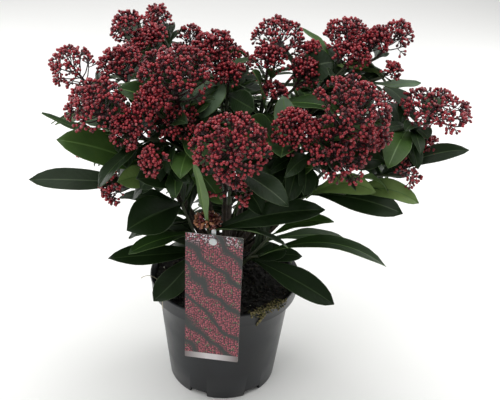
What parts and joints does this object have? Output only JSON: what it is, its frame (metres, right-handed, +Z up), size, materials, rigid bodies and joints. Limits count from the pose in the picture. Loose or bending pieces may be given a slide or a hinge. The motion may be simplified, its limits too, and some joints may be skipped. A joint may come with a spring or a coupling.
{
  "type": "potted flowering shrub",
  "caption": "Evergreen shrub with glossy leaves and domed heads of flower buds, standing in its round nursery pot with a plant label hanging on a pin over the rim.",
  "frame": {"origin": "centre of the flat underside of the pot, on the ground", "axes": "+Z up from the ground through the pot, -Y towards the side that the label hangs on, +X to the right seen from there"},
  "size_m": [0.483, 0.3774, 0.4827],
  "materials": {
    "pot_plastic": "satin dark grey polypropylene",
    "soil": "matt dark potting soil",
    "wood": "rough grey-brown bark",
    "foliage": "glossy leaves and crimson flower buds",
    "label_card": "printed glossy plastic sheet",
    "pin_plastic": "plain white plastic"
  },
  "bodies": {
    "root": {"pot": "pot_plastic", "soil": "soil", "label": "label_card", "label_pin": "pin_plastic", "woody_crown": "wood", "bough_back": "wood", "bough_back_left": "wood", "bough_back_right": "wood", "bough_centre": "wood", "bough_front": "wood", "bough_front_left": "wood", "bough_left": "wood", "bough_left_back": "wood", "bough_left_front": "wood", "bough_right": "wood", "bough_right_back": "wood", "bough_right_front": "wood", "bough_right_low": "wood", "bough_top_centre": "wood", "bough_top_left": "wood", "bough_top_right": "wood", "foliage_back": "foliage", "foliage_back_left": "foliage", "foliage_back_right": "foliage", "foliage_centre": "foliage", "foliage_front": "foliage", "foliage_front_left": "foliage", "foliage_front_low": "foliage", "foliage_left": "foliage", "foliage_left_back": "foliage", "foliage_left_front": "foliage", "foliage_low_back": "foliage", "foliage_low_left": "foliage", "foliage_low_right": "foliage", "foliage_right": "foliage", "foliage_right_back": "foliage", "foliage_right_front": "foliage", "foliage_right_low": "foliage", "foliage_top_centre": "foliage", "foliage_top_left": "foliage", "foliage_top_right": "foliage"}
  },
  "joints": []
}
